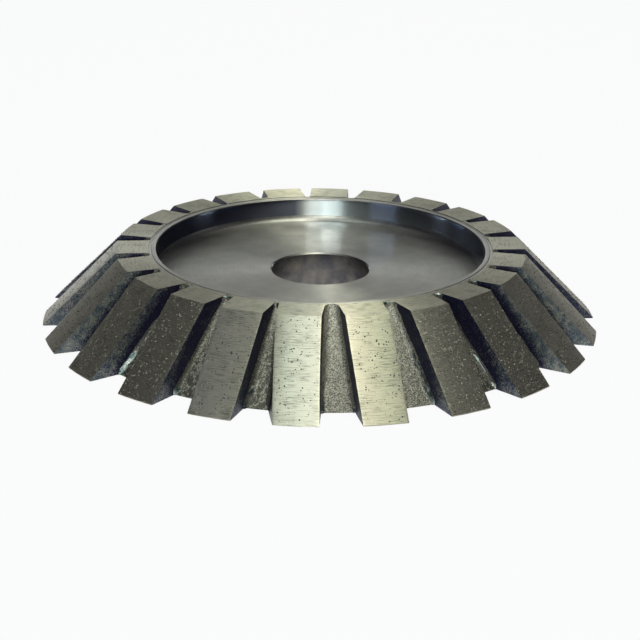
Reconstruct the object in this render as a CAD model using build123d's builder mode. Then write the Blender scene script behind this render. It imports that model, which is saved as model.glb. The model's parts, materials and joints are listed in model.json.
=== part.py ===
"""Bevel milling wheel: a dished steel core with diamond segments brazed round its cone."""

import os
from math import atan2, cos, degrees, pi, radians, sin, tan

from build123d import *

# Sizes are in millimetres and angles in degrees.
# The bore axis is Z, the flat back lies on Z = 0 and the front of the wheel is -Y.

# Whole wheel
wheel_diameter = 125.0
wheel_height = 16.8
bevel_angle = 45.0
edge_land = 0.2

# Ring of segments
segment_count = 22
first_azimuth = -3.8
seat_width = 6.9
seat_angle = 45.5
gullet_width = 1.8
corner_break = 0.15

# Turned core
rim_drop = 0.1
rim_width = 1.65
rim_chamfer = 0.25
recess_depth = 5.4
recess_fillet = 1.2
bore_diameter = 22.0
bore_front_chamfer = 0.3
bore_back_chamfer = 0.5

# Brazing by hand leaves some segments out of place: how far each one is moved sideways, and how
# far its top leans, as shares of the gullet's width. The segments that aren't named sit true.
misplaced = {
    1: (-0.22, -0.26),
    2: (-0.10, 0.00),
    3: (0.08, 0.00),
    8: (0.19, 0.00),
    9: (0.10, 0.00),
    10: (0.14, 0.00),
    11: (0.43, 0.00),
    12: (0.43, 0.00),
    15: (-0.09, 0.00),
    16: (-0.10, 0.00),
    17: (-0.16, 0.00),
    21: (0.10, 0.00),
}

# Radii and heights that follow from the sizes above
wheel_radius = wheel_diameter / 2
rim_height = wheel_height - rim_drop
bevel_top_radius = wheel_radius - (wheel_height - edge_land) * tan(radians(bevel_angle))
seat_back_radius = wheel_radius - seat_width
seat_top_radius = seat_back_radius - rim_height * tan(radians(seat_angle))
recess_radius = seat_top_radius - rim_width
web_thickness = rim_height - recess_depth
bore_radius = bore_diameter / 2
segment_width = 2 * seat_top_radius * sin(pi / segment_count) - gullet_width


def turned_core():
    """The steel body: web, bore, recess, rim and the cone that the segments sit on."""
    with BuildPart() as core:
        with BuildSketch(Plane.XZ):
            with BuildLine():
                Polyline(
                    (bore_radius, 0),
                    (seat_back_radius, 0),
                    (seat_top_radius, rim_height),
                    (recess_radius, rim_height),
                    (recess_radius, web_thickness),
                    (bore_radius, web_thickness),
                    close=True,
                )
            make_face()
        revolve(axis=Axis.Z)
        circles = core.edges().filter_by(GeomType.CIRCLE)
        bore_circles = circles.filter_by(lambda edge: abs(edge.radius - bore_radius) < 0.001)
        wall_circles = circles.filter_by(lambda edge: abs(edge.radius - recess_radius) < 0.001)
        chamfer(bore_circles.sort_by(Axis.Z)[-1], bore_front_chamfer)
        chamfer(bore_circles.sort_by(Axis.Z)[0], bore_back_chamfer)
        chamfer(wall_circles.sort_by(Axis.Z)[-1], rim_chamfer)
        fillet(wall_circles.sort_by(Axis.Z)[0], recess_fillet)
    return core.part


def brazed_segment(number):
    """One abrasive block: the ring's section, kept between two parallel walls."""
    sideways, leaning = misplaced.get(number, (0.0, 0.0))
    shift = degrees(sideways * gullet_width / seat_top_radius)
    lean = atan2(leaning * gullet_width, wheel_height / 2)
    azimuth = radians(first_azimuth + (number - 1) * 360 / segment_count + shift)
    outward = Vector(sin(azimuth), -cos(azimuth), 0)
    across = Vector(cos(azimuth), sin(azimuth), 0)
    wall_normal = across * cos(lean) - Vector(0, 0, 1) * sin(lean)
    middle = outward * (seat_top_radius + wheel_radius) / 2 + Vector(0, 0, wheel_height / 2)
    blank = Plane(origin=middle, x_dir=outward, z_dir=wall_normal)
    with BuildPart() as segment:
        with BuildSketch(Plane.XZ):
            with BuildLine():
                Polyline(
                    (seat_back_radius, 0),
                    (wheel_radius, 0),
                    (wheel_radius, edge_land),
                    (bevel_top_radius, wheel_height),
                    (seat_top_radius, wheel_height),
                    (seat_top_radius, rim_height),
                    close=True,
                )
            make_face()
        revolve(axis=Axis.Z)
        with BuildSketch(blank):
            Rectangle(2 * (wheel_radius - seat_top_radius), 2 * wheel_height)
        extrude(amount=segment_width / 2, both=True, mode=Mode.INTERSECT)
        top_edges = segment.faces().sort_by(Axis.Z)[-1].edges()
        chamfer(top_edges.sort_by(lambda edge: edge.center().dot(outward))[-1], corner_break)
    return segment.part


os.makedirs("parts", exist_ok=True)

steel_core = turned_core()
steel_core.label = "steel_core"
export_step(steel_core, "parts/steel_core.step")

for number in range(1, segment_count + 1):
    name = f"segment_{number:02d}"
    segment = brazed_segment(number)
    segment.label = name
    export_step(segment, f"parts/{name}.step")
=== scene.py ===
"""Finishes a bevel milling wheel: turned steel core, ground diamond segments, braze and grit."""

import json
import math

import bpy
import numpy as np
from mathutils import Matrix, Vector


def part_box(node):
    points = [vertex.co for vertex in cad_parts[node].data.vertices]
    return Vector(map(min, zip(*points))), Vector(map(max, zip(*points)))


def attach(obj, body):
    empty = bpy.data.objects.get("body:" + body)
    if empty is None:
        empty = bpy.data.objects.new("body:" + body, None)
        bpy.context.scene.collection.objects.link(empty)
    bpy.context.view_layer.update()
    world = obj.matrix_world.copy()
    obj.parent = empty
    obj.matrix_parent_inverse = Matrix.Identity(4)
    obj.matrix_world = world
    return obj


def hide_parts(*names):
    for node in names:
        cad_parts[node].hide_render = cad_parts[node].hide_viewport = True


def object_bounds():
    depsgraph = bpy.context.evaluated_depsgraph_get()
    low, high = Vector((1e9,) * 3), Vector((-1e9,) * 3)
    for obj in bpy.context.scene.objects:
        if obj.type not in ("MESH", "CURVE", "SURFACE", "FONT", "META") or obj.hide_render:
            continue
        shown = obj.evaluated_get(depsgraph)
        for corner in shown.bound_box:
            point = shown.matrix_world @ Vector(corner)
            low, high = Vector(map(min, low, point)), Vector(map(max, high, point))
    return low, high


bl_info = {
    "name": "Bevel milling wheel",
    "version": (1, 0, 0),
    "blender": (4, 5, 0),
    "location": "View3D > Sidebar > Bevel wheel",
    "description": "Gives a bevel milling wheel its turned, ground, sintered and brazed surfaces",
    "category": "Object",
}

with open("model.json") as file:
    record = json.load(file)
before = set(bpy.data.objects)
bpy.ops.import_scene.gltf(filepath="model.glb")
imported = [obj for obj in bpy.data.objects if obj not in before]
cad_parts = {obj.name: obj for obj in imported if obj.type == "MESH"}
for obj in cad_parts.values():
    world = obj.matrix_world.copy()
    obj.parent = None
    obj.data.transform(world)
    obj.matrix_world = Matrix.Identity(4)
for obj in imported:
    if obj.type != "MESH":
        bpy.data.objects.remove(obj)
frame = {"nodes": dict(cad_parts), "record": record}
cad_low, cad_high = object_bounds()

MM = 0.001
BODY = "root"
SEGMENTS = sorted(name for name in frame["nodes"] if name.startswith("segment_"))
CORE_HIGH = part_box("steel_core")[1]
MOUNTS = {mount["name"]: mount for mount in frame["record"]["mounts"]}

# Softboxes as seen from the wheel: name, way to it, width and height in degrees, radiance where a
# white wall is 1, and colour.
LAMPS = (
    ("ceiling", (0.05, 0.0, 1.0), 60, 60, 0.42, "f8f5fb"),
    ("overhead_left", (-0.19, -0.1, 0.98), 10, 34, 1.1, "e4fff4"),
    ("overhead_middle", (0.11, -0.14, 1.0), 5.2, 40, 5.4, "fffdf0"),
    ("overhead_right", (0.2, -0.14, 1.0), 5.2, 40, 3.3, "fffbe8"),
    ("overhead_far_right", (0.31, -0.14, 0.95), 8, 36, 2.5, "f2ffe2"),
    ("overhead_back", (0.08, 0.22, 0.95), 5.2, 30, 2.8, "fdffee"),
    ("overhead_back_right", (0.24, 0.22, 0.95), 5.2, 30, 2.1, "f5ffe6"),
    ("front_high_left", (-0.2, -0.76, 0.65), 6, 24, 3.2, "e8fdff"),
    ("front_high_middle", (-0.1, -0.76, 0.65), 6, 24, 2.2, "e4faff"),
    ("front_high_right", (0.0, -0.76, 0.65), 6, 24, 3.7, "eaf9ff"),
    ("front_high_far_right", (0.1, -0.76, 0.65), 6, 24, 4.7, "fffff8"),
    ("front_middle_left", (-0.16, -0.95, 0.22), 6, 9, 7.2, "f6fbf4"),
    ("front_middle", (-0.06, -0.95, 0.22), 6, 9, 12.0, "f6fbf4"),
    ("front_window", (-0.04, -1.0, 0.18), 26, 7, 9.5, "f6fbf4"),
    ("left_window", (-0.72, -0.69, 0.2), 20, 12, 1.5, "c4d8ff"),
    ("backdrop_low", (0.0, 1.0, 0.12), 26, 12, 1.5, "fffef9"),
    ("backdrop_left", (-0.37, 0.93, 0.13), 16, 12, 0.85, "eef4ff"),
    ("backdrop_middle", (0.0, 1.0, 0.36), 26, 12, 0.75, "f9fffb"),
    ("backdrop_high", (0.0, 0.87, 0.62), 30, 14, 0.6, "fafffa"),
    ("backdrop_top", (0.0, 0.4, 0.9), 40, 12, 1.5, "f6ffea"),
)

# Where braze ran out in a bead: the gullet after this segment and its side (0 left, 1 right), then
# the start and end as shares of the gullet's length from the back, and the bead's height in mm.
BEADS = {
    (19, 0): (0.00, 0.21, 0.42),
    (20, 0): (0.00, 0.06, 0.35),
    (21, 0): (0.00, 0.18, 0.40),
    (0, 0): (0.00, 0.09, 0.34),
    (0, 1): (0.00, 0.07, 0.25),
    (1, 0): (0.92, 1.00, 0.20),
    (1, 1): (0.00, 0.45, 0.34),
    (2, 1): (0.00, 0.34, 0.15),
    (18, 0): (0.00, 0.30, 0.30),
    (5, 1): (0.00, 0.40, 0.35),
    (8, 0): (0.10, 0.55, 0.40),
    (11, 1): (0.00, 0.25, 0.35),
    (14, 0): (0.00, 0.50, 0.30),
    (16, 1): (0.05, 0.35, 0.40),
}

# Painted shade on the blasted cone at the top and at the foot of a gullet, by number. Below zero it is
# painted light.
GULLET_SHADE = {0: (0.0, 0.0), 1: (-0.12, 0.0), 21: (0.03, 0.27), 20: (0.02, 0.3)}
PLAIN_GULLET_SHADE = (0.25, 0.3)

# Where braze lies thicker than this it is bare: bright, and without blasted grain.
BARE_BRAZE = 0.1 * MM

# A painted shadow that blackens a slit along a wall at the top of a gullet, by gullet: its side, depth and
# width in mm.
SHADOW_SLITS = {21: (1, 3.2, 0.45), 1: (0, 1.6, 0.3), 19: (1, 2.0, 0.4), 20: (1, 1.5, 0.35)}

# Segments that aren't quite regular, by number: how far the middle of a segment bows sideways in mm,
# and how far its left wall spreads at the top and at the foot in mm. A bow runs from BOW_START to the
# wheel's edge, and a wall spreads below SPREAD_HEIGHT.
BOWS = {0: -0.28, 1: -0.10, 21: 0.08, 2: 0.10}
SPREADS = {0: (0.15, 1.35)}
BOW_START = 38.6 * MM
SPREAD_HEIGHT = 9 * MM

# Painted sheen on the walls, a lighter grainy colour that stands in for light the walls reflect, by segment
# and side (1 right, -1 left): how deep from the seat it starts at the top, and how dense it is. The walls
# that aren't named carry the plain sheen.
SHEENS = {
    (17, 1): (0.35, 0.70),
    (18, 1): (0.45, 0.90),
    (19, 1): (0.55, 0.75),
    (20, 1): (0.90, 0.55),
    (21, 1): (1.10, 0.50),
    (0, -1): (1.00, 0.90),
    (1, -1): (1.20, 0.40),
    (2, -1): (1.10, 0.60),
    (3, -1): (1.00, 0.60),
    (4, -1): (0.60, 0.90),
    (5, -1): (0.55, 0.85),
    (6, -1): (0.90, 0.30),
}
PLAIN_SHEEN = (0.8, 0.4)

# How braze closes the inner end of a gullet, by number: depth of the closing mound in mm, and width
# of the nick left behind it. The gullets that aren't named end plainly at the rim.
ENDS = {
    1: (0.50, 0.30),
    2: (0.60, 0.40),
    3: (0.60, 0.35),
    4: (0.40, 0.10),
    7: (0.50, 0.15),
    9: (0.30, 0.10),
    12: (0.50, 0.30),
    14: (0.40, 0.20),
    15: (0.50, 0.25),
    18: (0.40, 0.15),
    19: (0.60, 0.45),
    20: (0.55, 0.50),
    21: (0.60, 0.50),
}

# A Mix node's colour sockets share their names with its number and vector sockets, so they go by place.
FIRST, SECOND, MIXED = 6, 7, 2

# A quarter turn from the tangent, so that light smears across the marks that run along it
ACROSS_MARKS = 0.25


def linear(code):
    """An sRGB hex colour such as 8c8c86 as linear red, green, blue and alpha."""
    channels = [int(code[place:place + 2], 16) / 255 for place in (0, 2, 4)]
    return [c / 12.92 if c <= 0.04045 else ((c + 0.055) / 1.055) ** 2.4 for c in channels] + [1.0]


def length_size(title, words, value):
    """A length that the user can change, in metres."""
    return bpy.props.FloatProperty(
        name=title, description=words, default=value, min=0.0, precision=5, unit="LENGTH"
    )


def angle_size(title, words, degrees):
    """An angle that the user can change."""
    return bpy.props.FloatProperty(
        name=title, description=words, default=math.radians(degrees), subtype="ANGLE"
    )


def colour_choice(title, words, code):
    """A colour that the user can change, given as sRGB hex."""
    return bpy.props.FloatVectorProperty(
        name=title, description=words, default=linear(code), size=4, min=0.0, max=1.0, subtype="COLOR"
    )


class WheelSizes(bpy.types.PropertyGroup):
    """Sizes of the wheel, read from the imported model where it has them."""

    wheel_radius: length_size("Wheel radius", "Axis to the segments' lower outer edge", cad_high.x)
    wheel_height: length_size("Wheel height", "Back face to the segments' top faces", cad_high.z)
    edge_land: length_size("Edge land", "Upright band under the grinding face", 0.2 * MM)
    bevel_angle: angle_size("Bevel angle", "Grinding face to the bore axis", 45)
    rim_height: length_size("Rim height", "Back face to the rim's top", CORE_HIGH.z)
    seat_back_radius: length_size("Seat radius at the back", "Where the seat meets the back", CORE_HIGH.x)
    seat_angle: angle_size("Seat angle", "Segment seat to the bore axis", 45.5)
    rim_width: length_size("Rim width", "Recess wall to the segment seat", 1.65 * MM)
    rim_chamfer: length_size("Rim chamfer", "Broken edge of the recess", 0.25 * MM)
    rim_groove: length_size("Rim groove", "Radius of the fine groove round the rim", 38.1 * MM)
    web_thickness: length_size(
        "Web thickness", "Back face to the recess floor", MOUNTS["recess_floor"]["pos_m"][2])
    recess_fillet: length_size("Recess fillet", "Round between the recess wall and floor", 1.2 * MM)
    bore_radius: length_size("Bore radius", "Radius of the spindle hole", MOUNTS["bore"]["dims"]["r_mm"] * MM)
    bore_front_chamfer: length_size("Front bore chamfer", "Bore chamfer at the recess floor", 0.3 * MM)
    bore_back_chamfer: length_size("Back bore chamfer", "Bore chamfer at the back", 0.5 * MM)
    worn_edge: length_size("Worn edge", "Rounding of a segment's edges", 0.035 * MM)
    grit: length_size("Grit", "Width of a coarse diamond grain", 0.37 * MM)
    cove_radius: length_size("Cove radius", "Hollow round of braze between a wall and the cone", 1.1 * MM)
    turning_feed: length_size("Turning feed", "Spacing of the turned rings", 0.45 * MM)
    grinding_pitch: length_size("Grinding pitch", "Spacing of the marks on the ground faces", 0.2 * MM)
    grinding_length: length_size("Grinding length", "Length of a mark on the ground faces", 3.2 * MM)
    glint_speck: length_size("Speck", "Spacing of the fine diamonds in the bond", 0.3 * MM)
    blast_pit: length_size("Blast pit", "Width of a pit in the blasted cone", 0.24 * MM)
    blast_facet: length_size("Blast facet", "Width of a bright facet in the blasted cone", 0.2 * MM)
    # The same grain breaks up the painted sheen on the walls.
    skin_grain: length_size("Skin grain", "Grain of the raw skin and of its bloom", 0.26 * MM)


class WheelColours(bpy.types.PropertyGroup):
    """Colours of the wheel's finishes."""

    turned: colour_choice("Turned steel", "Faced floor, rim and back of the core", "b3b1aa")
    bored: colour_choice("Bored steel", "Recess wall", "e4eef6")
    # Painted shade: the darker tint of the recess wall's left side.
    shaded_wall_steel: colour_choice("Blued steel", "Recess wall where heat has tinted it", "8a90a8")
    blasted: colour_choice("Blasted steel", "Cone between the segments", "a4a296")
    bond: colour_choice("Ground bond", "Grinding and top faces of the segments", "c4c1ae")
    skin: colour_choice("Sinter skin", "Unground side walls of the segments", "242440")
    grain: colour_choice("Diamond grain", "Synthetic diamond in the bond", "4c4c44")
    braze: colour_choice("Silver braze", "Braze run out beside the segments", "a6aca6")
    # Painted sheen: the lighter colour on the walls that stands in for light they reflect, thin and thick.
    stain: colour_choice("Heat stain", "Blue-green tint on the braze", "66746f")
    thin_sheen: colour_choice("Thin bloom", "Flux residue where it is thin", "727e7c")
    thick_sheen: colour_choice("Thick bloom", "Flux residue where it is thick", "9c9e92")
    # Painted glints: the pale colour of the fine diamonds stands in for their sparkle.
    glint_speck: colour_choice("Diamond speck", "Fine diamonds in the ground bond", "c6c4b2")
    bore: colour_choice("Worn bore", "Bore where spindles have dulled it", "64646a")
    grease: colour_choice("Old grease", "Brown patches in the bore", "a09a90")
    paper: colour_choice("Paper", "Floor where lamps light it", "e2e5f1")
    studio: colour_choice("Studio", "Dim surroundings above the floor", "181624")


def sizes():
    """The sizes that are set in this scene."""
    return bpy.context.scene.wheel_sizes


def colours():
    """The colours that are set in this scene."""
    return bpy.context.scene.wheel_colours


def seat_radius(z):
    """Radius of the segments' inner side at heights z: the cone, and an upright step above the rim."""
    s = sizes()
    return s.seat_back_radius - np.minimum(z, s.rim_height) * math.tan(s.seat_angle)


def bevel_radius(z):
    """Radius of the grinding face at heights z."""
    s = sizes()
    return s.wheel_radius - np.maximum(z - s.edge_land, 0.0) * math.tan(s.bevel_angle)


def swell(points, spacing, seed):
    """Smooth random values from -1 to 1 at the points, with about one swing in each spacing."""
    place = np.asarray(points) / spacing
    corner = np.floor(place).astype(np.int64)
    part = place - corner
    part = part * part * (3 - 2 * part)
    total = np.zeros(len(place))
    # Large primes scramble each corner of the grid into a value of its own.
    for step in np.ndindex(2, 2, 2):
        key = (corner + step) @ np.array([73856093, 19349663, 83492791]) + seed * 961748927
        key = (key ^ (key >> 13)) * 1274126177 & 0x7FFFFFFF
        share = np.prod(np.where(np.array(step) == 1, part, 1 - part), axis=1)
        total += share * ((key ^ (key >> 16)) % 20011 / 10005.0 - 1)
    return total


def new_piece(name, points, faces, materials, slots):
    """A smooth-shaded mesh piece on the wheel's body, with a material for each face's slot."""
    mesh = bpy.data.meshes.new(name)
    mesh.from_pydata([tuple(p) for p in points], [], [tuple(f) for f in faces])
    for material in materials:
        mesh.materials.append(material)
    mesh.polygons.foreach_set("material_index", np.asarray(slots, dtype=np.int32))
    mesh.polygons.foreach_set("use_smooth", np.ones(len(mesh.polygons), dtype=bool))
    mesh.validate()
    mesh.update()
    piece = bpy.data.objects.new(name, mesh)
    bpy.context.scene.collection.objects.link(piece)
    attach(piece, BODY)
    return piece


def add_node(tree, kind, inputs=None, **settings):
    """A node with its settings, and each input given a value or linked to a socket."""
    node = tree.nodes.new(kind)
    for name, value in settings.items():
        setattr(node, name, value)
    for socket, value in (inputs or {}).items():
        if isinstance(value, bpy.types.NodeSocket):
            tree.links.new(value, node.inputs[socket])
        else:
            node.inputs[socket].default_value = value
    return node


def new_material(name):
    """An empty node material and its tree."""
    material = bpy.data.materials.new(name)
    material.use_nodes = True
    material.node_tree.nodes.clear()
    return material, material.node_tree


def object_spot(tree):
    """The place on the piece."""
    return add_node(tree, "ShaderNodeTexCoord").outputs["Object"]


def axis_distance(tree, spot):
    """How far a place is from the bore axis."""
    flat = add_node(tree, "ShaderNodeVectorMath", {0: spot, 1: (1.0, 1.0, 0.0)}, operation="MULTIPLY")
    return add_node(tree, "ShaderNodeVectorMath", {0: flat.outputs[0]}, operation="LENGTH").outputs["Value"]


def around_axis(tree, spot):
    """The way a turning or grinding mark runs: round the bore axis."""
    return add_node(tree, "ShaderNodeVectorMath", {
        0: (0.0, 0.0, 1.0), 1: spot}, operation="CROSS_PRODUCT").outputs[0]


def grind_lines(tree, spot):
    """Values of the short marks that dressing leaves round the bore axis."""
    s = sizes()
    parts = add_node(tree, "ShaderNodeSeparateXYZ", {0: spot})
    angle = add_node(tree, "ShaderNodeMath", {
        0: parts.outputs["X"], 1: parts.outputs["Y"]}, operation="ARCTAN2")
    along = add_node(tree, "ShaderNodeMath", {
        0: angle.outputs[0], 1: s.wheel_radius / s.grinding_length}, operation="MULTIPLY")
    slide = add_node(tree, "ShaderNodeMath", {
        0: axis_distance(tree, spot), 1: parts.outputs["Z"]}, operation="SUBTRACT")
    across = add_node(tree, "ShaderNodeMath", {
        0: slide.outputs[0], 1: math.sqrt(0.5) / s.grinding_pitch}, operation="MULTIPLY")
    place = add_node(tree, "ShaderNodeCombineXYZ", {"X": along.outputs[0], "Y": across.outputs[0]})
    return add_node(tree, "ShaderNodeTexNoise", {"Vector": place.outputs[0], "Scale": 1.0, "Detail": 2.0})


def shade(tree, amount, low, high, colour, dark, light=1.0):
    """A colour that runs from its dark share to its light share while the amount goes from low to high."""
    share = add_node(tree, "ShaderNodeMapRange", {"Value": amount, "From Min": low, "From Max": high})
    return add_node(tree, "ShaderNodeMix", {
        "Factor": share.outputs[0],
        FIRST: [c * dark for c in colour[:3]] + [1.0],
        SECOND: [min(1.0, c * light) for c in colour[:3]] + [1.0],
    }, data_type="RGBA").outputs[MIXED]


def turned_steel():
    """Carbon steel faced on a lathe: fine rings that smear a lamp into a bright fan."""
    material, tree = new_material("turned_carbon_steel")
    spot = object_spot(tree)
    # Real feed marks, about 0.1 mm apart, are too fine to show, so they are drawn coarser.
    feed = add_node(tree, "ShaderNodeTexNoise", {
        "W": axis_distance(tree, spot), "Scale": 1 / sizes().turning_feed, "Detail": 3.0,
    }, noise_dimensions="1D")
    haze = add_node(tree, "ShaderNodeTexNoise", {
        "Vector": spot, "Scale": 1 / (7 * MM), "Detail": 8.0, "Roughness": 0.7})
    tone = add_node(tree, "ShaderNodeMath", {
        0: feed.outputs["Fac"], 1: 0.2, 2: haze.outputs["Fac"]}, operation="MULTIPLY_ADD")
    rough = add_node(tree, "ShaderNodeMapRange", {
        "Value": haze.outputs["Fac"], "From Min": 0.3, "From Max": 0.7, "To Min": 0.37, "To Max": 0.41})
    bump = add_node(tree, "ShaderNodeBump", {
        "Height": feed.outputs["Fac"], "Strength": 0.12, "Distance": 0.05 * MM})
    shader = add_node(tree, "ShaderNodeBsdfPrincipled", {
        "Base Color": shade(tree, tone.outputs[0], low=0.47, high=0.73, colour=colours().turned, dark=0.74),
        "Metallic": 1.0, "Roughness": rough.outputs[0], "Normal": bump.outputs[0],
        "Anisotropic": 0.84, "Anisotropic Rotation": ACROSS_MARKS, "Tangent": around_axis(tree, spot),
    })
    add_node(tree, "ShaderNodeOutputMaterial", {"Surface": shader.outputs[0]})
    return material


def bored_steel():
    """Steel bored smooth: a mirror round the wall, smeared up and down, with painted shade that darkens its
    left side.
    """
    material, tree = new_material("bored_carbon_steel")
    spot = object_spot(tree)
    haze = add_node(tree, "ShaderNodeTexNoise", {"Vector": spot, "Scale": 1 / (4 * MM), "Detail": 4.0})
    rough = add_node(tree, "ShaderNodeMapRange", {
        "Value": haze.outputs["Fac"], "From Min": 0.3, "From Max": 0.7, "To Min": 0.117, "To Max": 0.13})
    parts = add_node(tree, "ShaderNodeSeparateXYZ", {0: spot})
    # Painted shade: the wall takes the darker tint from 4 mm left of the axis outwards.
    plain = add_node(tree, "ShaderNodeMapRange", {
        "Value": parts.outputs["X"], "From Min": -6.5 * MM, "From Max": -4 * MM})
    tint = add_node(tree, "ShaderNodeMix", {
        "Factor": plain.outputs[0], FIRST: colours().shaded_wall_steel, SECOND: colours().bored}, data_type="RGBA")
    shader = add_node(tree, "ShaderNodeBsdfPrincipled", {
        "Base Color": tint.outputs[MIXED], "Metallic": 1.0, "Roughness": rough.outputs[0],
        "Anisotropic": 0.71, "Anisotropic Rotation": ACROSS_MARKS, "Tangent": around_axis(tree, spot),
    })
    add_node(tree, "ShaderNodeOutputMaterial", {"Surface": shader.outputs[0]})
    return material


def bore_steel():
    """The bore's fitted surface: dulled by spindles, brown with grease in patches, and darkened towards its
    mouth by painted shade.
    """
    material, tree = new_material("worn_bore_steel")
    spot = object_spot(tree)
    mouth = sizes().web_thickness
    patch = add_node(tree, "ShaderNodeTexNoise", {"Vector": spot, "Scale": 1 / (4 * MM), "Detail": 5.0})
    greasy = add_node(tree, "ShaderNodeMapRange", {
        "Value": patch.outputs["Fac"], "From Min": 0.35, "From Max": 0.7})
    tint = add_node(tree, "ShaderNodeMix", {
        "Factor": greasy.outputs[0], FIRST: colours().bore, SECOND: colours().grease}, data_type="RGBA")
    parts = add_node(tree, "ShaderNodeSeparateXYZ", {0: spot})
    # Painted shade: the colour darkens towards the bore's mouth.
    unshaded = add_node(tree, "ShaderNodeMapRange", {
        "Value": parts.outputs["Z"], "From Min": mouth - 3 * MM, "From Max": mouth,
        "To Min": 1.0, "To Max": 0.35,
    })
    shaded = add_node(tree, "ShaderNodeVectorMath", {
        0: tint.outputs[MIXED], "Scale": unshaded.outputs[0]}, operation="SCALE")
    shader = add_node(tree, "ShaderNodeBsdfPrincipled", {
        "Base Color": shaded.outputs[0], "Metallic": 0.9, "Roughness": 0.42})
    add_node(tree, "ShaderNodeOutputMaterial", {"Surface": shader.outputs[0]})
    return material


def blasted_steel():
    """Steel blasted with coarse grit and wetted by braze: a salt-and-pepper grain of bright and black,
    darkened by painted shade gullet by gullet, towards the foot, and in slits by the walls.
    """
    material, tree = new_material("grit_blasted_steel")
    spot = object_spot(tree)
    # Real pits, under 0.1 mm wide, are too fine to show, so they and their facets are drawn coarser.
    pits = add_node(tree, "ShaderNodeTexNoise", {
        "Vector": spot, "Scale": 1 / sizes().blast_pit, "Detail": 2.0})
    facets = add_node(tree, "ShaderNodeTexVoronoi", {"Vector": spot, "Scale": 1 / sizes().blast_facet})
    chance = add_node(tree, "ShaderNodeSeparateColor", {0: facets.outputs["Color"]})
    grain = add_node(tree, "ShaderNodeMath", {
        0: chance.outputs[0], 1: 0.35, 2: pits.outputs["Fac"]}, operation="MULTIPLY_ADD")
    bump = add_node(tree, "ShaderNodeBump", {
        "Height": grain.outputs[0], "Strength": 0.8, "Distance": 0.15 * MM})
    parts = add_node(tree, "ShaderNodeSeparateXYZ", {0: spot})
    # Painted shade: the cone darkens towards its foot.
    foot_shade = add_node(tree, "ShaderNodeMapRange", {
        "Value": parts.outputs["Z"], "From Max": sizes().rim_height, "To Min": 0.16, "To Max": 0.0})
    # This attribute carries painted shade, gullet by gullet, and black in the shadow slits.
    soot = add_node(tree, "ShaderNodeAttribute", attribute_name="soot")
    painted_darkening = add_node(tree, "ShaderNodeMath", {0: foot_shade.outputs[0], 1: soot.outputs["Fac"]}, operation="ADD")
    tone = add_node(tree, "ShaderNodeMath", {0: grain.outputs[0], 1: painted_darkening.outputs[0]}, operation="SUBTRACT")
    steel = shade(tree, tone.outputs[0], low=0.36, high=0.94, colour=colours().blasted, dark=0.3, light=1.9)
    # Where the painted shade is deepest, in the shadow slits, the colour goes nearly black.
    unshaded = add_node(tree, "ShaderNodeMapRange", {
        "Value": soot.outputs["Fac"], "From Min": 0.4, "From Max": 1.0, "To Min": 1.0, "To Max": 0.1})
    colour = add_node(tree, "ShaderNodeVectorMath", {0: steel, "Scale": unshaded.outputs[0]}, operation="SCALE")
    shader = add_node(tree, "ShaderNodeBsdfPrincipled", {
        "Base Color": colour.outputs[0], "Metallic": 0.9, "Roughness": 0.5, "Normal": bump.outputs[0]})
    add_node(tree, "ShaderNodeOutputMaterial", {"Surface": shader.outputs[0]})
    return material


def ground_bond():
    """Bronze and iron bond dressed on a stone: fine broken lines that smear light, and diamond specks given a
    pale colour that paints their glints.
    """
    material, tree = new_material("ground_metal_bond")
    spot = object_spot(tree)
    # Real marks, about 0.05 mm apart, are too fine to show, so they are drawn coarser, as the specks are.
    lines = grind_lines(tree, spot)
    patch = add_node(tree, "ShaderNodeTexNoise", {"Vector": spot, "Scale": 1 / (3.5 * MM), "Detail": 3.0})
    tone = add_node(tree, "ShaderNodeMath", {
        0: patch.outputs["Fac"], 1: 0.5, 2: lines.outputs["Fac"]}, operation="MULTIPLY_ADD")
    bump = add_node(tree, "ShaderNodeBump", {
        "Height": lines.outputs["Fac"], "Strength": 0.3, "Distance": 0.05 * MM})
    colour = shade(tree, tone.outputs[0], low=0.56, high=0.76, colour=colours().bond, dark=0.56)
    lands = add_node(tree, "ShaderNodeBsdfPrincipled", {
        "Base Color": colour, "Metallic": 1.0, "Roughness": 0.38, "Normal": bump.outputs[0],
        "Anisotropic": 1.0, "Anisotropic Rotation": ACROSS_MARKS, "Tangent": around_axis(tree, spot),
    })
    pores = add_node(tree, "ShaderNodeBsdfPrincipled", {
        "Base Color": colour, "Metallic": 1.0, "Roughness": 0.62, "Normal": bump.outputs[0]})
    porous = add_node(tree, "ShaderNodeMapRange", {
        "Value": tone.outputs[0], "From Min": 0.6, "From Max": 0.8, "To Min": 0.18, "To Max": 0.04})
    metal = add_node(tree, "ShaderNodeMixShader", {
        0: porous.outputs[0], 1: lands.outputs[0], 2: pores.outputs[0]})
    # Painted glints: some cells become pale diffuse specks that stand in for diamonds catching the light.
    cells = add_node(tree, "ShaderNodeTexVoronoi", {"Vector": spot, "Scale": 1 / sizes().glint_speck})
    chance = add_node(tree, "ShaderNodeSeparateColor", {0: cells.outputs["Color"]})
    chosen = add_node(tree, "ShaderNodeMapRange", {
        "Value": chance.outputs[0], "From Min": 0.83, "From Max": 1.0})
    dot = add_node(tree, "ShaderNodeMapRange", {
        "Value": cells.outputs["Distance"], "From Min": 0.3, "From Max": 0.55, "To Min": 1.0, "To Max": 0.0})
    glinting_specks = add_node(tree, "ShaderNodeMath", {0: chosen.outputs[0], 1: dot.outputs[0]}, operation="MULTIPLY")
    painted_glints = add_node(tree, "ShaderNodeBsdfPrincipled", {
        "Base Color": colours().glint_speck, "Roughness": 0.5, "IOR": 2.42})
    surface = add_node(tree, "ShaderNodeMixShader", {
        0: glinting_specks.outputs[0], 1: metal.outputs[0], 2: painted_glints.outputs[0]})
    add_node(tree, "ShaderNodeOutputMaterial", {"Surface": surface.outputs[0]})
    return material


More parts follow.
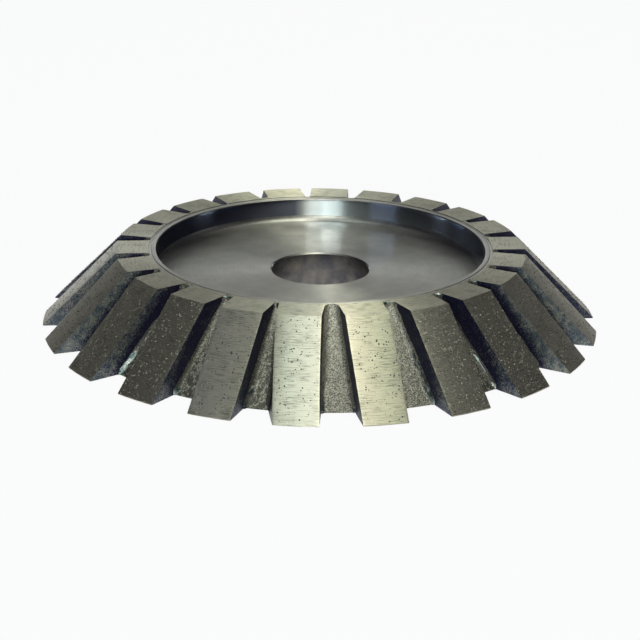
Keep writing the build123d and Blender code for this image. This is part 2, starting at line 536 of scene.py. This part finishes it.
def sinter_skin():
    """Sides of the pressed bond as they left the mould: nearly black, with a grainy painted sheen that stands
    in for reflected light.
    """
    material, tree = new_material("sintered_bond_skin")
    spot = object_spot(tree)
    # This attribute carries painted sheen: a lighter colour that stands in for light the walls reflect.
    bloom = add_node(tree, "ShaderNodeAttribute", attribute_name="bloom")
    # Real grains of bond powder, about 0.05 mm wide, are too fine to show, so they are drawn coarser.
    grain = add_node(tree, "ShaderNodeTexNoise", {
        "Vector": spot, "Scale": 1 / sizes().skin_grain, "Detail": 2.0})
    patch = add_node(tree, "ShaderNodeTexNoise", {"Vector": spot, "Scale": 1 / (1.6 * MM), "Detail": 3.0})
    cover = add_node(tree, "ShaderNodeMath", {
        0: grain.outputs["Fac"], 1: 5.0, 2: patch.outputs["Fac"]}, operation="MULTIPLY_ADD")
    reach = add_node(tree, "ShaderNodeMath", {
        0: bloom.outputs["Fac"], 1: 1.6, 2: cover.outputs[0]}, operation="MULTIPLY_ADD")
    share = add_node(tree, "ShaderNodeMapRange", {
        "Value": reach.outputs[0], "From Min": 3.3, "From Max": 5.2})
    thick = add_node(tree, "ShaderNodeMapRange", {
        "Value": patch.outputs["Fac"], "From Min": 0.4, "From Max": 0.6})
    sheen_tint = add_node(tree, "ShaderNodeMix", {
        "Factor": thick.outputs[0], FIRST: colours().thin_sheen, SECOND: colours().thick_sheen,
    }, data_type="RGBA")
    colour = add_node(tree, "ShaderNodeMix", {
        "Factor": share.outputs[0], FIRST: colours().skin, SECOND: sheen_tint.outputs[MIXED]}, data_type="RGBA")
    bump = add_node(tree, "ShaderNodeBump", {
        "Height": grain.outputs["Fac"], "Strength": 0.6, "Distance": 0.1 * MM})
    shader = add_node(tree, "ShaderNodeBsdfPrincipled", {
        "Base Color": colour.outputs[MIXED], "Metallic": 0.6, "Roughness": 0.5, "Normal": bump.outputs[0]})
    add_node(tree, "ShaderNodeOutputMaterial", {"Surface": shader.outputs[0]})
    return material


def diamond_grain():
    """Synthetic diamond half sunk in metal: dull, so it is dark on a bright face and unseen on a dim one."""
    material, tree = new_material("synthetic_diamond_grit")
    shader = add_node(tree, "ShaderNodeBsdfPrincipled", {"Base Color": colours().grain, "Roughness": 0.6})
    add_node(tree, "ShaderNodeOutputMaterial", {"Surface": shader.outputs[0]})
    return material


def silver_braze():
    """Silver braze that ran out at the joint: bright and smooth, with a blue-green heat tint."""
    material, tree = new_material("silver_braze_alloy")
    spot = object_spot(tree)
    patch = add_node(tree, "ShaderNodeTexNoise", {"Vector": spot, "Scale": 1 / (1.5 * MM), "Detail": 4.0})
    bright = add_node(tree, "ShaderNodeMapRange", {
        "Value": patch.outputs["Fac"], "From Min": 0.42, "From Max": 0.58})
    colour = add_node(tree, "ShaderNodeMix", {
        "Factor": bright.outputs[0], FIRST: colours().stain, SECOND: colours().braze}, data_type="RGBA")
    ripple = add_node(tree, "ShaderNodeTexNoise", {"Vector": spot, "Scale": 1 / (0.5 * MM), "Detail": 3.0})
    bump = add_node(tree, "ShaderNodeBump", {
        "Height": ripple.outputs["Fac"], "Strength": 0.5, "Distance": 0.1 * MM})
    shader = add_node(tree, "ShaderNodeBsdfPrincipled", {
        "Base Color": colour.outputs[MIXED], "Metallic": 1.0, "Roughness": 0.4, "Normal": bump.outputs[0]})
    add_node(tree, "ShaderNodeOutputMaterial", {"Surface": shader.outputs[0]})
    return material


def material_once(make):
    """The material that a function makes, made only once."""
    made = bpy.context.scene.get("wheel_materials")
    store = dict(made) if made else {}
    if make.__name__ not in store:
        store[make.__name__] = make().name
        bpy.context.scene["wheel_materials"] = store
    return bpy.data.materials[store[make.__name__]]


class WHEEL_OT_core(bpy.types.Operator):
    """Turn the steel core with its recess, bore, rim and blasted cone"""

    bl_idname = "wheel.core"
    bl_label = "Turned core"

    def execute(self, context):
        path = self.section()
        rows, slots = [], []
        for (start, count, slot), (end, _, _) in zip(path, path[1:] + path[:1]):
            for part in range(count):
                rows.append(np.array(start) + (np.array(end) - np.array(start)) * part / count)
                slots.append(slot)
        rows = np.array(rows)
        self.cut_groove(rows)
        steps = 720
        around = np.linspace(0, 2 * math.pi, steps, endpoint=False)
        radius = rows[:, 0][:, None].repeat(steps, axis=1)
        height = rows[:, 1][:, None].repeat(steps, axis=1)
        points = np.stack([radius * np.cos(around), radius * np.sin(around), height], axis=2).reshape(-1, 3)
        faces = ring_faces(len(rows), steps, closed=True)
        materials = [material_once(make) for make in (turned_steel, bored_steel, bore_steel, blasted_steel)]
        piece = new_piece("turned_core", points, faces, materials, np.repeat(slots, steps))
        mark_sharp(piece.data, 30)
        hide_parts("steel_core")
        return {"FINISHED"}

    def section(self):
        """Each corner of the section, how many rows the side after it is cut into, and that side's finish."""
        s = sizes()
        turned, bored, worn, blasted = range(4)
        seat_top = float(seat_radius(np.array([s.rim_height]))[0])
        wall = seat_top - s.rim_width
        fillet, edge = [], []
        for turn in np.radians(np.linspace(0, 90, 8)):
            falling, rising = 1 - math.sin(turn), 1 - math.cos(turn)
            fillet.append((wall - s.recess_fillet * falling, s.web_thickness + s.recess_fillet * rising))
            edge.append((wall + s.rim_chamfer * rising, s.rim_height - s.rim_chamfer * falling))
        path = [
            ((s.bore_radius, s.bore_back_chamfer), 6, worn),
            ((s.bore_radius, s.web_thickness - s.bore_front_chamfer), 2, turned),
            ((s.bore_radius + s.bore_front_chamfer, s.web_thickness), 12, turned),
        ]
        path += [(corner, 1, turned) for corner in fillet[:-1]]
        path += [(fillet[-1], 4, bored)]
        path += [(corner, 1, turned) for corner in edge[:-1]]
        path += [
            (edge[-1], 24, turned),
            ((seat_top, s.rim_height), 12, blasted),
            ((s.seat_back_radius, 0.0), 12, turned),
            ((s.bore_radius + s.bore_back_chamfer, 0.0), 1, turned),
        ]
        return path

    def cut_groove(self, rows):
        """Lower the rim's rows where the fine groove runs round it."""
        s = sizes()
        half_width, depth = 0.09 * MM, 0.1 * MM
        on_rim = rows[:, 1] > s.rim_height - 0.01 * MM
        near = np.exp(-((rows[:, 0] - s.rim_groove) / half_width) ** 2)
        rows[:, 1] -= near * on_rim * depth


def ring_faces(rows, count, closed):
    """Faces between rows of points that each run round a shape; closed joins the last row to the first."""
    faces = []
    for row in range(rows if closed else rows - 1):
        after = (row + 1) % rows
        for part in range(count):
            beside = (part + 1) % count
            corners = (row, part), (row, beside), (after, beside), (after, part)
            faces.append(tuple(line * count + place for line, place in corners))
    return faces


def mark_sharp(mesh, degrees):
    """Edges that turn by more than this many degrees stay crisp in smooth shading."""
    mesh.set_sharp_from_angle(angle=math.radians(degrees))


def bed(name):
    """Where a segment sits: outward and sideways directions, lean, offset and width of its walls."""
    mesh = frame["nodes"][name].data
    low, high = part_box(name)
    middle = (low + high) / 2
    outward = Vector((middle.x, middle.y, 0)).normalized()
    across = Vector((-outward.y, outward.x, 0))
    # The two walls are the faces that look sideways to within 14 degrees.
    sideways = 0.97
    walls = [p for p in mesh.polygons if abs(p.normal.dot(across)) > sideways]
    normal = sum((p.normal * p.area * math.copysign(1, p.normal.dot(across)) for p in walls), Vector())
    normal.normalize()
    reach = [normal.dot(v.co) for v in mesh.vertices]
    flat = Vector((normal.x, normal.y, 0)).normalized()
    number = SEGMENTS.index(name)
    return {
        "bow": BOWS.get(number, 0.0) * MM,
        "spread": [size * MM for size in SPREADS.get(number, (0.0, 0.0))],
        "outward": np.array((flat.y, -flat.x, 0)),
        "across": np.array(flat),
        "lean": math.asin(-normal.z),
        "offset": (max(reach) + min(reach)) / 2,
        "width": max(reach) - min(reach),
    }


def bow(place, radius):
    """Sideways shift of a bowed segment at each radius: none at its two ends, most between them."""
    share = np.clip((radius - BOW_START) / (cad_high.x - BOW_START), 0, 1)
    fullness = 0.7
    return place["bow"] * np.sin(math.pi * share) ** fullness


def spread(place, height):
    """How far the foot of a segment's left wall stands out at each height."""
    top, foot = place["spread"]
    return top + (foot - top) * np.clip(1 - height / SPREAD_HEIGHT, 0, 1) ** 2


def on_bed(place, sideways, height, depth):
    """Points of a segment: sideways from its mid-plane, height, and depth from 0 at the seat to 1."""
    radius = seat_radius(height) * (1 - depth) + bevel_radius(height) * depth
    middle = place["offset"] + bow(place, radius)
    across = (middle + sideways + height * math.sin(place["lean"])) / math.cos(place["lean"])
    along = np.sqrt(np.maximum(radius ** 2 - across ** 2, 0))
    up = np.array([0.0, 0.0, 1.0])
    return along[:, None] * place["outward"] + across[:, None] * place["across"] + height[:, None] * up


def wall_angle(place, side, radius, height):
    """Angle about the bore axis of a segment's wall near the seat; side is 1 or -1."""
    middle = place["offset"] + bow(place, radius)
    across = middle + side * place["width"] / 2 + height * math.sin(place["lean"])
    across = across - (spread(place, height) if side < 0 else 0.0)
    sideways = math.atan2(place["across"][1], place["across"][0])
    return sideways - np.arccos(np.clip(across / math.cos(place["lean"]) / radius, -1, 1))


def sheen_share(number, sideways, height, depth):
    """How much painted sheen a segment's walls carry: most by the grinding face, and reaching deeper at the
    foot.
    """
    right, left = SHEENS.get((number, 1), PLAIN_SHEEN), SHEENS.get((number, -1), PLAIN_SHEEN)
    start = np.where(sideways > 0, right[0], left[0])
    most = np.where(sideways > 0, right[1], left[1])
    foot = np.clip(1 - height / sizes().wheel_height, 0, 1)
    start_at_foot, fade = 0.1, 0.35
    edge = start * (1 - foot ** 1.5) + start_at_foot * foot
    return most * np.clip((depth - edge) / fade, 0, 1)


def box_grid(counts):
    """Points of a box's surface from -1 to 1 on a grid, its faces, and each face's axis and side."""
    lines = [np.linspace(-1, 1, n + 1) for n in counts]
    index, points, faces, sides = {}, [], [], []

    def number(key):
        if key not in index:
            index[key] = len(points)
            points.append([lines[axis][key[axis]] for axis in range(3)])
        return index[key]

    for axis in range(3):
        first, second = (axis + 1) % 3, (axis + 2) % 3
        for side in (0, counts[axis]):
            for i in range(counts[first]):
                for j in range(counts[second]):
                    corners = []
                    for di, dj in ((0, 0), (1, 0), (1, 1), (0, 1)):
                        key = [0, 0, 0]
                        key[axis], key[first], key[second] = side, i + di, j + dj
                        corners.append(number(tuple(key)))
                    faces.append(corners if side else corners[::-1])
                    sides.append((axis, 1 if side else -1))
    return np.array(points), faces, sides


def grain_shape():
    """A cuboctahedron one unit wide, the usual habit of a synthetic diamond."""
    corners = []
    for empty in range(3):
        for first in (-1, 1):
            for second in (-1, 1):
                corner = [first, second]
                corner.insert(empty, 0)
                corners.append(corner)
    corners = np.array(corners, dtype=float)
    faces = []
    for axis in range(3):
        for side in (-1, 1):
            faces.append([i for i, c in enumerate(corners) if c[axis] == side])
    for signs in np.ndindex(2, 2, 2):
        way = np.array(signs) * 2 - 1
        faces.append([i for i, c in enumerate(corners) if np.dot(c, way) == 2])
    ordered = []
    for face in faces:
        middle = corners[face].mean(axis=0)
        first = corners[face[0]] - middle
        second = np.cross(middle, first)
        turn = [math.atan2(np.dot(corners[i] - middle, second) / np.linalg.norm(second),
                           np.dot(corners[i] - middle, first) / np.linalg.norm(first)) for i in face]
        ordered.append([face[i] for i in np.argsort(turn)])
    corner_to_corner = 2.83
    return corners / corner_to_corner, ordered


class WHEEL_OT_segments(bpy.types.Operator):
    """Dress the diamond segments with worn edges, a raw skin and half-sunk grains"""

    bl_idname = "wheel.segments"
    bl_label = "Diamond segments"

    def execute(self, context):
        materials = [material_once(make) for make in (ground_bond, sinter_skin, diamond_grain)]
        ground, skin, grain = range(3)
        for number, name in enumerate(SEGMENTS):
            place = bed(name)
            points, faces, sides, places = self.worn_block(number, place)
            slots = [skin if axis == 0 or (axis == 2 and side < 0) else ground for axis, side in sides]
            grains, grain_faces = self.grains(number, place, len(points))
            piece = new_piece(
                name.replace("segment", "bond"), np.concatenate([points] + grains), faces + grain_faces,
                materials, slots + [grain] * len(grain_faces),
            )
            # Painted sheen: how much of the lighter colour each point of a wall takes.
            bloom = sheen_share(number, *places)
            bloom = np.concatenate([bloom, np.zeros(sum(len(shape) for shape in grains))])
            layer = piece.data.attributes.new("bloom", "FLOAT", "POINT")
            layer.data.foreach_set("value", bloom.astype(np.float32))
            smooth = np.array([True] * len(faces) + [False] * len(grain_faces), dtype=bool)
            piece.data.polygons.foreach_set("use_smooth", smooth)
            mark_sharp(piece.data, 40)
            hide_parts(name)
        return {"FINISHED"}

    def worn_block(self, number, place):
        """A segment with unevenly rounded edges: points, faces, each face's side and each point's place."""
        s = sizes()
        slope = s.wheel_height / math.cos(s.bevel_angle)
        thick = (s.wheel_radius - s.seat_back_radius) * math.cos(s.bevel_angle)
        half = np.array([place["width"], slope, thick]) / 2
        cuts_across, cuts_up, cuts_deep = 34, 84, 14
        grid, faces, sides = box_grid((cuts_across, cuts_up, cuts_deep))
        box = grid * half
        # Each segment reads its wear from another place, so that no two are alike.
        own_place = box + np.array([0.0, 0.0, 7 * MM * number])
        long_wear = swell(own_place, 1.1 * MM, number)
        short_wear = swell(own_place, 0.45 * MM, number + 50)
        worn = s.worn_edge * (1 + 0.6 * long_wear + 0.4 * short_wear)
        worn = np.maximum(worn, 0.3 * s.worn_edge)[:, None]
        core = np.clip(box, -(half - worn), half - worn)
        away = box - core
        reach = np.linalg.norm(away, axis=1)[:, None]
        box = core + np.where(reach > 0, away / np.maximum(reach, 1e-12) * worn, 0)
        sideways = box[:, 0]
        height = (box[:, 1] / half[1] + 1) / 2 * s.wheel_height
        depth = (box[:, 2] / half[2] + 1) / 2
        left = np.clip(-sideways / half[0], 0, 1) ** 4
        points = on_bed(place, sideways - spread(place, height) * (1 - depth) * left, height, depth)
        return points, faces, sides, (sideways, height, depth)

    def grains(self, number, place, base):
        """Coarse diamonds half sunk in the grinding face: their corners, and faces numbered from base."""
        s = sizes()
        count, margin, sunk = 130, 0.3 * MM, 0.18
        corners, grain_faces = grain_shape()
        rng = np.random.default_rng(40 + number)
        sideways = rng.uniform(-1, 1, count) * (place["width"] / 2 - margin)
        up = rng.uniform(0.03, 0.97, count) * s.wheel_height
        outward = place["outward"] * math.cos(s.bevel_angle) + np.array([0.0, 0.0, math.sin(s.bevel_angle)])
        shapes, faces = [], []
        for spot in on_bed(place, sideways, up, np.ones(count)):
            size = s.grit * (0.5 + 0.8 * rng.uniform() ** 2)
            spot = spot - outward * size * sunk
            angle = rng.uniform(0, 2 * math.pi)
            axis = Vector(rng.normal(size=3)).normalized()
            turn = np.array(Matrix.Rotation(angle, 3, axis))
            shapes.append(spot + corners @ turn.T * size)
            faces += [[base + i for i in face] for face in grain_faces]
            base += len(corners)
        return shapes, faces


def near_rim(height, below, length):
    """Goes from 0 to 1 as a height nears the rim: from so many mm below it, over so many mm."""
    return np.clip((height - sizes().rim_height + below * MM) / (length * MM), 0, 1)


class WHEEL_OT_braze(bpy.types.Operator):
    """Wet the gullets with braze: a cove at each wall's foot, beads where it ran, and blasted grain"""

    bl_idname = "wheel.braze"
    bl_label = "Brazed gullets"

    def execute(self, context):
        s = sizes()
        materials = [material_once(make) for make in (blasted_steel, silver_braze, ground_bond)]
        blasted, silver, ground = range(3)
        places = [bed(name) for name in SEGMENTS]
        rows, columns = 130, 34
        heights = np.linspace(0.02 * MM, s.rim_height + 0.05 * MM, rows)
        for number, name in enumerate(SEGMENTS):
            left, right = places[number], places[(number + 1) % len(places)]
            points, shiny, slit_shadows = [], [], []
            for height in heights:
                row, wetted, slit_shade = self.cross_row(number, height, left, right, columns)
                points += row
                shiny.append(wetted)
                slit_shadows += slit_shade
            # Two hidden points under the cone close each row.
            count = columns + 2
            faces = ring_faces(rows, count, closed=False)
            slots = []
            for wetted in shiny[:-1]:
                slots += [silver if bright else blasted for bright in wetted] + [blasted, blasted]
            faces.append(tuple(range(count))[::-1])
            faces.append(tuple((rows - 1) * count + part for part in range(count)))
            slots += [blasted, ground]
            piece = new_piece(
                name.replace("segment", "braze"), points, faces, materials, slots)
            # Painted shade on the cone, from the gullet's top to its foot, with black in the shadow slits.
            above, below = GULLET_SHADE.get(number, PLAIN_GULLET_SHADE)
            soot = np.interp([point[2] for point in points], (0, s.rim_height), (below, above))
            soot = np.maximum(soot, slit_shadows)
            layer = piece.data.attributes.new("soot", "FLOAT", "POINT")
            layer.data.foreach_set("value", soot.astype(np.float32))
            mark_sharp(piece.data, 60)
        return {"FINISHED"}

    def cross_row(self, number, height, left, right, columns):
        """One row across a gullet: its points, where it is bare braze, and where painted shadow blackens a
        slit by the wall.
        """
        s = sizes()
        # From 0 at the left wall to 1 at the right one.
        share = np.linspace(0, 1, columns)
        mound, nick = ENDS.get(number, (0.0, 0.0))
        side, deep, wide = SHADOW_SLITS.get(number, (0, 0.0, 0.0))
        base = float(seat_radius(np.array([height]))[0])
        line, lift, bead = self.profile(number, height, base, left, right, share)
        closing = near_rim(height, 1.3, 1.1) ** 2
        wave = 1 + 0.4 * swell([[height, number * 0.01, 0]], 0.5 * MM, number + 300)[0]
        lift = lift + mound * MM * closing * wave
        radius = base + lift / math.cos(s.seat_angle)
        first, last = wall_angle(left, 1, radius, height), wall_angle(right, -1, radius, height)
        last = first + (last - first) % (2 * math.pi)
        # The ends reach a little into the walls, so that no slit shows.
        margin = 0.03 * MM / base
        angle = (first - margin) * (1 - share) + (last + margin) * share
        upright = np.full(columns, height)
        points = list(np.stack([radius * np.cos(angle), radius * np.sin(angle), upright], axis=1))
        # The hidden side runs this many mm under the cone, and comes out at the rim to leave the nick.
        sunk = 0.15
        under = base - sunk * MM + (sunk + nick) * MM * near_rim(height, 0.8, 0.5)
        under = min(under, float(radius.min()) - 0.02 * MM)
        for turn in (angle[-1], angle[0]):
            points.append(np.array([under * math.cos(turn), under * math.sin(turn), height]))
        wetted = np.maximum(bead, mound * closing * 0.25 * MM * (wave > 1.0)) > BARE_BRAZE
        # Painted shadow: a black slit along one wall near the rim.
        slit_distance = (line[-1] - line if side else line) / (wide * MM + 1e-9)
        slit_shade = near_rim(height, deep, 0.4) * np.clip(2.2 - 1.6 * slit_distance, 0, 1)
        return points, wetted, list(slit_shade) + [0.0, 0.0]

    def profile(self, number, height, base, left, right, share):
        """Across a gullet at one height: places along it, lift of its surface from the cone, and beads."""
        s = sizes()
        seed = 100 + number * 7
        first, last = wall_angle(left, 1, base, height), wall_angle(right, -1, base, height)
        gap = base * ((last - first) % (2 * math.pi))
        # The coves are small at the foot, swell towards the rim and sway a little in between.
        sway = swell([[height, 0.1 * number, 0.0], [height, 0.1 * number, 0.5]], 3 * MM, seed)
        foot = min(1.0, 0.2 + height / (1.5 * MM))
        top = 1 + 0.5 * max(0.0, 1 - (s.rim_height - height) / (2.5 * MM))
        legs = np.minimum(s.cove_radius * top * (1 + 0.35 * sway), 0.42 * gap) * foot
        line = share * gap
        cove, bead = np.zeros(len(share)), np.zeros(len(share))
        up = height / s.rim_height
        taper = 0.08
        for side in (0, 1):
            leg = legs[side]
            reach = line if side == 0 else gap - line
            inside = np.clip(leg - reach, 0, leg)
            cove += leg - np.sqrt(np.maximum(leg ** 2 - inside ** 2, 0))
            low, high, size = BEADS.get((number, side), (0.0, 0.0, 0.0))
            if size and low - taper < up < high + taper:
                fade = min(1.0, (up - low + taper) / taper, (high + taper - up) / taper)
                wave = 0.8 + 0.6 * swell([[height, 0, 0]], 0.9 * MM, seed + 3)[0]
                drift = 0.3 * swell([[height, 1, 0]], 2.2 * MM, seed + 4)[0]
                crest = (0.3 + drift) * leg
                half_width = (0.15 + 0.6 * size) * MM
                bead += size * MM * fade * wave * np.exp(-((reach - crest) / half_width) ** 2)
        spots = np.stack([line, np.full(len(share), height), np.full(len(share), number * 0.013)], axis=1)
        coarse = swell(spots, 0.55 * MM, seed + 1) * 0.04 * MM
        fine = swell(spots, 0.28 * MM, seed + 2) * 0.035 * MM
        lift = cove + bead + np.where(bead > BARE_BRAZE, 0, coarse + fine)
        for end in (0, -1):
            lift[end] = max(cove[end], 0.05 * MM)
        return line, lift, bead


class WHEEL_OT_stage(bpy.types.Operator):
    """Set the floor, lamps, surroundings and camera"""

    bl_idname = "wheel.stage"
    bl_label = "Stage"

    def execute(self, context):
        scene = context.scene
        scene.view_settings.view_transform = "Standard"
        self.floor(scene)
        self.surroundings(scene)
        for lamp in LAMPS:
            self.softbox(scene, *lamp)
        self.camera(scene)
        return {"FINISHED"}

    def floor(self, scene):
        """Pale paper that the camera and the metal see as white, apart from the wheel's shadow."""
        # It fills any view from 11 degrees up or steeper.
        reach = 30.0
        corners = [(-reach, -reach, 0), (reach, -reach, 0), (reach, reach, 0), (-reach, reach, 0)]
        mesh = bpy.data.meshes.new("floor")
        mesh.from_pydata(corners, [], [(0, 1, 2, 3)])
        material, tree = new_material("pale_paper")
        path = add_node(tree, "ShaderNodeLightPath")
        mirrored = add_node(tree, "ShaderNodeMath", {
            0: path.outputs["Is Glossy Ray"], 1: path.outputs["Is Transmission Ray"]}, operation="MAXIMUM")
        seen = add_node(tree, "ShaderNodeMath", {
            0: path.outputs["Is Camera Ray"], 1: mirrored.outputs[0]}, operation="MAXIMUM")
        share = add_node(tree, "ShaderNodeMath", {0: seen.outputs[0], 1: 0.92}, operation="MULTIPLY")
        plain = add_node(tree, "ShaderNodeBsdfDiffuse", {"Color": colours().paper})
        glow = add_node(tree, "ShaderNodeEmission", {"Color": (1, 1, 1, 1), "Strength": 1.0})
        surface = add_node(tree, "ShaderNodeMixShader", {
            0: share.outputs[0], 1: plain.outputs[0], 2: glow.outputs[0]})
        add_node(tree, "ShaderNodeOutputMaterial", {"Surface": surface.outputs[0]})
        mesh.materials.append(material)
        floor = bpy.data.objects.new("floor", mesh)
        scene.collection.objects.link(floor)

    def surroundings(self, scene):
        """A dim studio above the floor."""
        world = bpy.data.worlds.new("studio")
        world.use_nodes = True
        tree = world.node_tree
        tree.nodes.clear()
        back = add_node(tree, "ShaderNodeBackground", {"Color": colours().studio, "Strength": 1.0})
        add_node(tree, "ShaderNodeOutputWorld", {"Surface": back.outputs[0]})
        scene.world = world

    def softbox(self, scene, name, way, width, height, glow, tint):
        """A softbox that faces the wheel, placed and sized by angles seen from the wheel."""
        distance = 1.0
        way = Vector(way).normalized()
        overhead = way.z >= 0.8
        upright = Vector((0, 1, 0)) if overhead else Vector((0, 0, 1))
        side = upright.cross(way).normalized()
        data = bpy.data.lights.new(name, "AREA")
        data.shape = "RECTANGLE"
        data.size = 2 * distance * math.tan(math.radians(width) / 2)
        data.size_y = 2 * distance * math.tan(math.radians(height) / 2)
        data.color = linear(tint)[:3]
        data.energy = glow * data.size * data.size_y * math.pi
        lamp = bpy.data.objects.new(name, data)
        lamp.visible_camera = False
        spot = way * distance + Vector((0, 0, sizes().wheel_height))
        turn = Matrix((side, way.cross(side), way)).transposed().to_4x4()
        lamp.matrix_world = Matrix.Translation(spot) @ turn
        scene.collection.objects.link(lamp)

    def camera(self, scene):
        """The photograph's viewpoint, found from the corners of the segments."""
        wheel = sizes().wheel_radius
        distance, rise = 6.001 * wheel, math.radians(17.981)
        pitch, yaw, roll = math.radians(20.565), math.radians(0.014), math.radians(0.777)
        image_width, focal_pixels, sensor = 640, 1664.5, 36.0
        data = bpy.data.cameras.new("camera")
        data.sensor_width = sensor
        data.lens = focal_pixels * sensor / image_width
        camera = bpy.data.objects.new("camera", data)
        ahead = Vector((math.sin(yaw) * math.cos(pitch), math.cos(yaw) * math.cos(pitch), -math.sin(pitch)))
        level = Vector((math.cos(yaw), -math.sin(yaw), 0))
        over = level.cross(ahead)
        right = level * math.cos(roll) + over * math.sin(roll)
        up = over * math.cos(roll) - level * math.sin(roll)
        spot = Vector((0, -distance * math.cos(rise), distance * math.sin(rise) + sizes().wheel_height))
        camera.matrix_world = Matrix((
            (right.x, up.x, -ahead.x, spot.x),
            (right.y, up.y, -ahead.y, spot.y),
            (right.z, up.z, -ahead.z, spot.z),
            (0, 0, 0, 1),
        ))
        scene.collection.objects.link(camera)
        scene.camera = camera


class WHEEL_PT_panel(bpy.types.Panel):
    """Lists the wheel's pieces and the stage"""

    bl_idname = "WHEEL_PT_panel"
    bl_label = "Bevel wheel"
    bl_space_type = "VIEW_3D"
    bl_region_type = "UI"
    bl_category = "Bevel wheel"

    def draw(self, context):
        for operator in OPERATORS:
            self.layout.operator(operator.bl_idname)
        for group in (context.scene.wheel_sizes, context.scene.wheel_colours):
            box = self.layout.box()
            for name in group.__annotations__:
                box.prop(group, name)


OPERATORS = (WHEEL_OT_core, WHEEL_OT_segments, WHEEL_OT_braze, WHEEL_OT_stage)
CLASSES = (WheelSizes, WheelColours) + OPERATORS + (WHEEL_PT_panel,)


def register():
    for kind in CLASSES:
        bpy.utils.register_class(kind)
    bpy.types.Scene.wheel_sizes = bpy.props.PointerProperty(type=WheelSizes)
    bpy.types.Scene.wheel_colours = bpy.props.PointerProperty(type=WheelColours)


def unregister():
    del bpy.types.Scene.wheel_colours
    del bpy.types.Scene.wheel_sizes
    for kind in reversed(CLASSES):
        bpy.utils.unregister_class(kind)


def main():
    register()
    bpy.ops.wheel.core()
    bpy.ops.wheel.segments()
    bpy.ops.wheel.braze()
    bpy.ops.wheel.stage()


if __name__ == "__main__":
    main()
